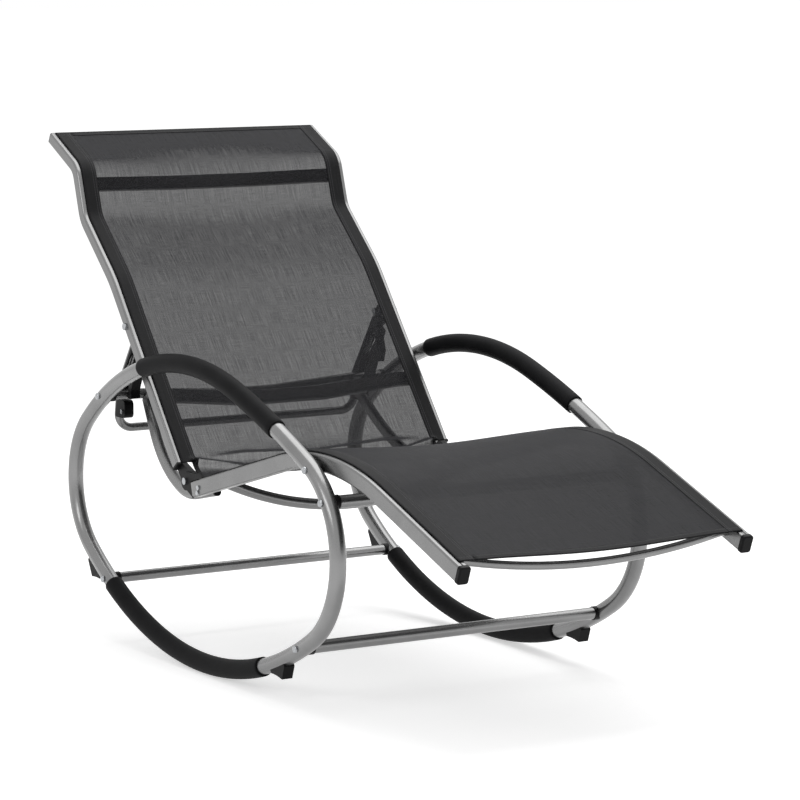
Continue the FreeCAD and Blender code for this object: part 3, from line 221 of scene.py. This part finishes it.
def crossing(first, first_way, second, second_way):
    """Where two lines cross: first + t x first_way = second + u x second_way."""
    t, _ = np.linalg.solve(np.stack([first_way, -second_way], axis=1), second - first)
    return first + t * first_way


# ---------------------------------------------------------------- meshes from grids
def grid_piece(name, points, finish, wrap_rows=False, wrap_columns=False, uv=None, smooth=True):
    """A mesh of quads over an array of places (rows, columns, 3) in metres."""
    rows, columns = points.shape[:2]
    index = np.arange(rows * columns).reshape(rows, columns)
    down = np.concatenate([index, index[:1]]) if wrap_rows else index
    full = np.concatenate([down, down[:, :1]], axis=1) if wrap_columns else down
    quads = np.stack([full[:-1, :-1], full[:-1, 1:], full[1:, 1:], full[1:, :-1]], axis=-1).reshape(-1, 4)
    mesh = bpy.data.meshes.new(name)
    mesh.from_pydata(points.reshape(-1, 3), [], quads)
    mesh.polygons.foreach_set("use_smooth", np.full(len(quads), smooth))
    if uv is not None:
        layer = mesh.uv_layers.new(name="cloth")
        layer.data.foreach_set("uv", uv.reshape(-1, 2)[quads.ravel()].astype(np.float32).ravel())
    mesh.update()
    piece = bpy.data.objects.new(name, mesh)
    bpy.context.scene.collection.objects.link(piece)
    mesh.materials.append(finish)
    return piece


# ---------------------------------------------------------------- rails and sling (mm)
SEAT_CORNERS = np.array([(-724.5, 301), (-317, 453), (165, 319.5)], float)
BACK_CORNERS = np.array([(225.5, 356.4), (474, 674), (591, 781), (620.5, 875), (724, 928)], float)
SEAT_LIFT = 30 / 2 + 1.3            # half the seat rail's depth, gap and half the cloth
BACK_LIFT = 22 / 2 + 1.3
CREST_RADIUS = 534                  # bend of the seat rails over the knees
EDGE_X = 283.0                      # where the cloth dives into the rails' channels
FOOT_END, HEAD_END = 12.0, 2.0      # how far the cloth stops short of the rails' ends


def sling_corners():
    """Corners of the cloth's profile: the rails' own lines moved up by half their depth."""
    lines = []
    for corners, lift in ((SEAT_CORNERS, SEAT_LIFT), (BACK_CORNERS, BACK_LIFT)):
        for start, end in zip(corners, corners[1:]):
            way = (end - start) / np.linalg.norm(end - start)
            lines.append((start + np.array([-way[1], way[0]]) * lift, way))
    inner = [crossing(*a, *b) for a, b in zip(lines, lines[1:])]
    reach = np.linalg.norm(BACK_CORNERS[-1] - BACK_CORNERS[-2])
    first = lines[0][0] + lines[0][1] * FOOT_END
    last = lines[-1][0] + lines[-1][1] * (reach - HEAD_END)
    return [first, *inner, last]


def sling_profile(hinge, loin, neck, head, count):
    """The cloth's profile with the radii given at its four bends behind the crest."""
    radii = [CREST_RADIUS + SEAT_LIFT, hinge, loin, neck, head]
    return resampled(rounded_line(sling_corners(), radii), count)


SLING_ROWS = 560
SLING_EDGE = sling_profile(52, 300 + BACK_LIFT, 60 - BACK_LIFT, 40 + BACK_LIFT, SLING_ROWS)
SLING_MIDDLE = sling_profile(120, 420, 125, 148, SLING_ROWS)
SLING_LENGTH = along(SLING_EDGE)[-1]
SLING_UP = left_of(SLING_EDGE)
HEM = 30.0                          # width of the side hems
NOTCH = 21.0                        # how much of them is cut away over the hinge
END_HEM = 13.0                      # width of the foot and head hems
CLOTH_THICK, HEM_THICK = 0.8, 1.9


def sling_row(y, z):
    """Distance along the cloth's edge to the place nearest (y, z)."""
    apart = np.linalg.norm(SLING_EDGE - (y, z), axis=1)
    return along(SLING_EDGE)[apart.argmin()]


SEAT_HEM_STARTS = sling_row(112, 351)
BACK_HEM_ENDS = sling_row(214.2, 361.8)
NOTCH_ROWS = [SEAT_HEM_STARTS, SEAT_HEM_STARTS + 3, BACK_HEM_ENDS - 1.5, BACK_HEM_ENDS]
SAG_ROWS = [0, 425, 800, SLING_LENGTH - 150, SLING_LENGTH]     # places along the cloth
SAG_DEPTHS = [9, 12, 5, 5, 0]                                  # how far its middle hangs there


def folds(across, rows):
    """Height of the loose cloth's folds over the hinge: one across above it, lowest in the
    middle, and one from each side hem's end, running down and inwards. Their sections are bell
    curves."""
    width, far = np.abs(across)[None, :], np.asarray(rows, float)[:, None] - BACK_HEM_ENDS
    straight_fold = 13.0 * np.cos(np.clip(width / 235, 0, 1) * math.pi / 2)
    middle = 4 - 16 * np.clip(1 - width / 150, 0, 1)
    fan_fold = 11.0 * np.clip((width - 150) / 60, 0, 1) * np.clip((268 - width) / 10, 0, 1)
    return (straight_fold * np.exp(-((far - middle) / 7) ** 2)
            + fan_fold * np.exp(-((far - 0.25 * (width - 253) + 2) / 6) ** 2))


def sling_places(across, rows):
    """Places on the cloth: its edge profile blends into the tauter middle profile by the square
    of a cosine across the chair, with a sag that fades out at the head bar and the folds added.
    Over the hinge the cloth is cut narrower: what lies outside the side hem's inner edge is
    squeezed towards that edge."""
    share = np.cos(np.clip(np.abs(across) / EDGE_X, 0, 1) * math.pi / 2)[None, :, None] ** 2
    rows = np.asarray(rows, float)
    pick = rows / SLING_LENGTH * (SLING_ROWS - 1)
    index = np.arange(SLING_ROWS)
    edge, middle, up = (np.stack([np.interp(pick, index, a[:, k]) for k in (0, 1)], axis=1)[:, None]
                        for a in (SLING_EDGE, SLING_MIDDLE, SLING_UP))
    sag = np.interp(rows, SAG_ROWS, SAG_DEPTHS)
    rise = folds(across, rows)[:, :, None] - sag[:, None, None] * share
    plane = edge * (1 - share) + middle * share + up * rise
    cut = np.interp(rows, NOTCH_ROWS, [0, NOTCH, NOTCH, 0])[:, None]
    outside = np.clip(np.abs(across) - (EDGE_X - HEM), 0, None)[None, :]
    x = (across[None, :] - np.sign(across)[None, :] * outside * cut / HEM)[:, :, None]
    return np.concatenate([x, plane], axis=2) * MM


def cloth_uv(across, rows):
    """UV in metres: along the width and along the length of the cut cloth."""
    u, v = np.meshgrid(across, rows)
    return np.stack([u, v], axis=-1) * MM


# ---------------------------------------------------------------- cloth finishes
def slubs(tree, place):
    """Uneven yarn: streaks along the weft plus streaks along the warp, halved, so 0 to 1.

    Yarn of 0.5 mm at a pitch of 1.2 mm is too fine to show, so its slubs are drawn 1.4 mm
    wide and about 50 mm long. The warp, which runs along the chair, shows more than the weft."""
    streaks = []
    for stretch in ((30, 700, 1), (760, 20, 1)):             # features per metre across and along
        spread = node(tree, "Mapping", [("Vector", place), ("Scale", stretch)])
        streaks.append(node(tree, "TexNoise", [("Vector", spread.outputs[0]), ("Scale", 1.0),
                                               ("Detail", 2.0)]).outputs["Fac"])
    return node(tree, "Mix", [("Factor", 0.64), ("A", streaks[0]), ("B", streaks[1])],
                data_type="FLOAT").outputs[0]


def mesh_cloth():
    """PVC-coated polyester yarn, plain woven with slubs: an open, slightly uneven black mesh.

    The yarn covers a share of the cloth seen square on. Seen at a slant the gaps close: the
    cover is that share divided by the cosine of the slant to the power 0.27, up to all of it.
    The cloth's two faces are each drawn with 1 - sqrt(1 - cover)."""
    tree, shader, made = material("polyester_mesh_woven_pvc_coated", [
        ("Roughness", 0.6), ("IOR", 1.5), ("Specular IOR Level", 0.12)])
    yarn = slubs(tree, node(tree, "UVMap", uv_map="cloth").outputs[0])
    tree.links.new(two_tone(tree, yarn, "#141416", "#27272a", 0.36, 0.64), shader.inputs["Base Color"])
    share = node(tree, "MapRange", [("Value", yarn), ("From Min", 0.3), ("From Max", 0.7),
                                    ("To Min", 0.78), ("To Max", 0.888)]).outputs[0]
    slant = node(tree, "LayerWeight", [("Blend", 0.5)]).outputs["Facing"]
    cosine = node(tree, "Math", [(0, 1.0), (1, slant)], operation="SUBTRACT").outputs[0]
    slow = node(tree, "Math", [(0, cosine), (1, 0.27)], operation="POWER").outputs[0]
    cover = node(tree, "Math", [(0, share), (1, slow)], operation="DIVIDE").outputs[0]
    top = node(tree, "Math", [(0, cover), (1, 0.995)], operation="MINIMUM").outputs[0]
    gaps = node(tree, "Math", [(0, 1.0), (1, top)], operation="SUBTRACT").outputs[0]
    each = node(tree, "Math", [(0, gaps), (1, 0.5)], operation="POWER").outputs[0]
    alpha = node(tree, "Math", [(0, 1.0), (1, each)], operation="SUBTRACT").outputs[0]
    tree.links.new(alpha, shader.inputs["Alpha"])
    bump(tree, shader, yarn, 0.0003)
    return made


def seams(tree, place):
    """1 on the thread of the hems' seams: stitches of 4 mm every 5 mm, in lines 1.2 mm wide. Two
    lines run along each side hem and one across each end hem."""
    flat = node(tree, "SeparateXYZ", [("Vector", place)])
    side = node(tree, "Math", [(0, flat.outputs["X"])], operation="ABSOLUTE").outputs[0]
    lines = [(side, 0.2565, flat.outputs["Y"]), (side, 0.2610, flat.outputs["Y"]),
             (flat.outputs["Y"], 0.010, flat.outputs["X"]),
             (flat.outputs["Y"], SLING_LENGTH * MM - 0.010, flat.outputs["X"])]
    thread = 0.0
    for way, at, run in lines:
        line = node(tree, "Math", [(0, way), (1, at), (2, 0.0006)], operation="COMPARE").outputs[0]
        step = node(tree, "Math", [(0, run), (1, 200.0)], operation="MULTIPLY").outputs[0]
        part = node(tree, "Math", [(0, step)], operation="FRACT").outputs[0]
        stitch = node(tree, "Math", [(0, part), (1, 0.8)], operation="LESS_THAN").outputs[0]
        mark = node(tree, "Math", [(0, line), (1, stitch)], operation="MULTIPLY").outputs[0]
        thread = node(tree, "Math", [(0, mark), (1, thread)], operation="MAXIMUM").outputs[0]
    return thread


def hem_cloth():
    """The same cloth folded double and pressed flat: opaque, so blacker than the open mesh, and
    sewn with bonded polyester thread."""
    tree, shader, made = material("polyester_mesh_folded_hem", [
        ("Roughness", 0.6), ("IOR", 1.5), ("Specular IOR Level", 0.12)])
    place = node(tree, "UVMap", uv_map="cloth").outputs[0]
    yarn, thread = slubs(tree, place), seams(tree, place)
    weave = two_tone(tree, yarn, "#131314", "#202021", 0.36, 0.64)
    both = node(tree, "Mix", [("Factor", thread), (6, weave), (7, linear("#3c3c3e"))], data_type="RGBA")
    tree.links.new(both.outputs[2], shader.inputs["Base Color"])
    height = node(tree, "Math", [(0, yarn), (1, thread)], operation="ADD").outputs[0]
    bump(tree, shader, height, 0.0003)
    return made


MESH_CLOTH = mesh_cloth()
HEM_CLOTH = hem_cloth()


def thickened(piece, thickness):
    """Gives a sheet a closed thickness, half to each side."""
    solid = piece.modifiers.new("thickness", "SOLIDIFY")
    solid.thickness, solid.offset = thickness * MM, 0
    return piece


def over_hinge(piece):
    """Bakes the piece's placement into its mesh."""
    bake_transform(piece)


def build_sling():
    """The cloth from foot to head in one sheet, and its four hems sewn on."""
    across = np.concatenate([[-EDGE_X, -270], np.linspace(HEM - EDGE_X, EDGE_X - HEM, 55), [270, EDGE_X]])
    near_hinge = BACK_HEM_ENDS + np.linspace(-110, 60, 140)
    rows = np.unique(np.concatenate([np.linspace(0, SLING_LENGTH, 460), near_hinge, [BACK_HEM_ENDS]]))
    sling = grid_piece("sling", sling_places(across, rows), MESH_CLOTH,
                       uv=cloth_uv(across, rows))
    thickened(sling, CLOTH_THICK)
    hems = []
    for name, side in SIDES.items():
        band = side * np.linspace(EDGE_X - HEM, EDGE_X - 0.4, 8)
        if side < 0:
            band = band[::-1]
        strip = grid_piece("sling_hem_" + name, sling_places(band, rows), HEM_CLOTH,
                           uv=cloth_uv(band, rows))
        hems.append(thickened(strip, HEM_THICK))
    inside = np.linspace(HEM - EDGE_X, EDGE_X - HEM, 49)
    for name, low, high in (("foot", 0.0, END_HEM), ("head", SLING_LENGTH - END_HEM, SLING_LENGTH)):
        stretch = np.linspace(low, high, 6)
        strip = grid_piece("sling_hem_" + name, sling_places(inside, stretch), HEM_CLOTH,
                           uv=cloth_uv(inside, stretch))
        hems.append(thickened(strip, HEM_THICK))
        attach(strip, "frame" if name == "foot" else "back")
    for strip in hems[:2]:
        over_hinge(strip)
    over_hinge(sling)
    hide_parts("seat_fabric", "back_fabric")


# ---------------------------------------------------------------- hoops and foam sleeves (mm)
ROCKER, FRONT, FRONT_RUN, TOP, REAR = 750.0, 170.0, 1900.0, 610.0, 155.0    # radii
ROCKER_CENTRE = np.array([83, 767.5])
FRONT_TURN, REAR_TURN, REAR_BEND_TURN = 360 - 31.0, 36.5, 103.6             # degrees
HOOP_X, FOAM_RADIUS, FOAM_BORE = 310.0, 17.5, 14.7
SLEEVES = {"armrest_sleeve": (164.5, 201.9), "rocker_sleeve": (-16.7, 28.2)}  # turns of their ends


def radial(turn):
    """Unit vectors in (y, z) at turns in degrees from straight down, turning rearward."""
    angle = np.radians(np.asarray(turn, float) - 90)
    return np.stack([np.cos(angle), np.sin(angle)], axis=-1)


def hoop_circles():
    """The hoop as arcs tangent to each other: centre, radius, first turn and last turn of each.
    The long front run touches the front bend and the top arc: its centre lies where circles of
    radius (run - bend) and (run - top) about their centres cross."""
    rear_centre = ROCKER_CENTRE + radial(REAR_TURN) * (ROCKER - REAR)
    top_turn = REAR_TURN + REAR_BEND_TURN
    top_centre = rear_centre + radial(top_turn) * (REAR - TOP)
    front_centre = ROCKER_CENTRE + radial(FRONT_TURN) * (ROCKER - FRONT)
    apart = top_centre - front_centre
    span = np.linalg.norm(apart)
    near, far = FRONT_RUN - FRONT, FRONT_RUN - TOP
    ahead = (near ** 2 - far ** 2 + span ** 2) / (2 * span)
    unit = apart / span
    run_centre = (front_centre + unit * ahead
                  + np.array([unit[1], -unit[0]]) * math.sqrt(near ** 2 - ahead ** 2))
    turns = [(math.degrees(math.atan2(*(c - run_centre)[::-1])) + 90) % 360
             for c in (top_centre, front_centre)]
    return [(ROCKER_CENTRE, ROCKER, 0, REAR_TURN), (rear_centre, REAR, REAR_TURN, top_turn),
            (top_centre, TOP, top_turn, turns[0]), (run_centre, FRONT_RUN, *turns),
            (front_centre, FRONT, turns[1], FRONT_TURN), (ROCKER_CENTRE, ROCKER, FRONT_TURN, 360)]


def hoop_line(first, last, step=0.5):
    """Places along the hoop's centre line from one turn to another; both may be below 0."""
    turns = np.arange(first, last + step / 2, step)
    turns[-1] = last
    wrapped = turns % 360
    path = np.zeros((len(turns), 2))
    for centre, radius, low, high in hoop_circles():
        inside = (wrapped >= low) & (wrapped <= high)
        path[inside] = centre + radial(wrapped[inside]) * radius
    return path


def sleeve_places(path, x, segments=40):
    """A closed tube of foam along a path: rows run down its outside and back up its bore. The
    outer edge of each cut end is worn to a quarter circle of 1.5 mm."""
    edge = 1.5
    run = np.gradient(path, axis=0)
    run /= np.linalg.norm(run, axis=1, keepdims=True)
    worn = np.linspace(0, math.pi / 2, 5)[:-1, None]
    inward, less = edge * (1 - np.cos(worn)), edge * (1 - np.sin(worn))
    far = along(path)
    inner = (far > edge) & (far < far[-1] - edge)
    rows = np.concatenate([path[:1] + run[:1] * inward, path[inner],
                           (path[-1:] - run[-1:] * inward)[::-1], path[::-1]])
    ways = np.concatenate([np.repeat(run[:1], 4, 0), run[inner], np.repeat(run[-1:], 4, 0), run[::-1]])
    size = np.concatenate([FOAM_RADIUS - less, np.full((inner.sum(), 1), FOAM_RADIUS),
                           (FOAM_RADIUS - less)[::-1], np.full((len(path), 1), FOAM_BORE)])
    turn = np.linspace(0, 2 * math.pi, segments, endpoint=False)[None, :]
    y = rows[:, :1] - ways[:, 1:] * size * np.cos(turn)
    z = rows[:, 1:] + ways[:, :1] * size * np.cos(turn)
    return np.stack([x - size * np.sin(turn), y, z], axis=-1) * MM


def build_sleeves():
    """Foam armrests, and the foam that the chair rocks on."""
    for name, (first, last) in SLEEVES.items():
        path = hoop_line(first, last)
        for side_name, side in SIDES.items():
            cad = "%s_%s" % (name, side_name)
            piece = grid_piece(cad.replace("_", "_foam_", 1), sleeve_places(path, side * HOOP_X), FOAM,
                               wrap_rows=True, wrap_columns=True)
            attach(piece, "frame")
            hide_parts(cad)


# ---------------------------------------------------------------- studio (metres)
LAMPS = [                            # name, place, size, watts, turn in degrees
    ("soft_top", (0.8, 0.5, 3.0), (3.0, 3.0), 56, (0, 14, 0)),
    ("soft_left", (-3.2, -1.2, 2.2), (1.0, 2.2), 20, (0, -58, 20)),
]
FLOOR_REACH = 60                     # far enough that no view sees its edge
WHITE = (1, 1, 1, 1)


def build_stage():
    """Pale floor, wide enough to be the backdrop too."""
    floor = bpy.data.meshes.new("floor")
    corners = [(x * FLOOR_REACH, y * FLOOR_REACH, 0) for x, y in ((-1, -1), (1, -1), (1, 1), (-1, 1))]
    floor.from_pydata(corners, [], [(0, 1, 2, 3)])
    floor.materials.append(studio_floor())
    ground = bpy.data.objects.new("floor", floor)
    bpy.context.scene.collection.objects.link(ground)


def seen_plainly(tree):
    """1 for rays from the camera, mirrored in the metal or through the cloth; 0 for rays that light."""
    path, seen = node(tree, "LightPath"), 0.0
    for kind in ("Is Camera Ray", "Is Glossy Ray", "Is Transmission Ray"):
        seen = node(tree, "Math", [(0, path.outputs[kind]), (1, seen)], operation="MAXIMUM").outputs[0]
    return seen


def studio_floor():
    """White paper sweep: matt, and lifted to pure white to the eye, and in the metal, while it
    keeps its shadows."""
    made = bpy.data.materials.new("paper_sweep_white")
    made.use_nodes = True
    tree = made.node_tree
    tree.nodes.clear()
    matt = node(tree, "BsdfDiffuse", [("Color", linear("#f2f2f2"))])
    place = node(tree, "TexCoord").outputs["Object"]
    far = node(tree, "VectorMath", [(0, place)], operation="LENGTH").outputs["Value"]
    level = node(tree, "MapRange", [("Value", far), ("From Min", 1.2), ("From Max", 4.0),
                                    ("To Min", 0.5), ("To Max", 0.6)]).outputs[0]
    lift = node(tree, "Math", [(0, seen_plainly(tree)), (1, level)], operation="MULTIPLY")
    glow = node(tree, "Emission", [("Color", WHITE), ("Strength", lift.outputs[0])])
    both = node(tree, "AddShader", [(0, matt.outputs[0]), (1, glow.outputs[0])])
    node(tree, "OutputMaterial", [("Surface", both.outputs[0])])
    return made


def build_light():
    """Even light from all round, white to the eye and in the metal, and two soft boxes."""
    world = bpy.data.worlds.new("studio")
    bpy.context.scene.world = world
    world.use_nodes = True
    tree = world.node_tree
    tree.nodes.clear()
    level = node(tree, "Mix", [("Factor", seen_plainly(tree)), ("A", 0.55), ("B", 1.0)],
                 data_type="FLOAT").outputs[0]
    glow = node(tree, "Background", [("Color", WHITE), ("Strength", level)])
    node(tree, "OutputWorld", [("Surface", glow.outputs[0])])
    for name, place, size, power, turn in LAMPS:
        lamp = bpy.data.lights.new(name, "AREA")
        lamp.shape, lamp.size, lamp.size_y, lamp.energy = "RECTANGLE", size[0], size[1], power
        thing = bpy.data.objects.new(name, lamp)
        thing.location, thing.rotation_euler = place, [math.radians(a) for a in turn]
        bpy.context.scene.collection.objects.link(thing)


def build_camera():
    """A long lens, low and in front of the right foot end."""
    lens = bpy.data.cameras.new("camera")
    lens.sensor_width, lens.lens = 36, 157.5
    lens.clip_start, lens.clip_end = 0.1, 200
    eye = bpy.data.objects.new("camera", lens)
    eye.location = (-3.2595, -5.3473, 1.2948)
    eye.rotation_euler = (math.radians(82.60), 0, math.radians(-31.76))
    bpy.context.scene.collection.objects.link(eye)
    bpy.context.scene.camera = eye


def dress_frame():
    """Each carried-over node gets the finish that its record slot names."""
    slots = {row["node"]: row["material_slot"] for row in frame["record"]["subparts"]}
    for name, thing in frame["nodes"].items():
        thing.data.materials.clear()
        thing.data.materials.append(FINISHES[slots[name]])


dress_frame()
build_sling()
build_sleeves()
build_stage()
build_light()
build_camera()
bpy.context.scene.view_settings.view_transform = "Standard"
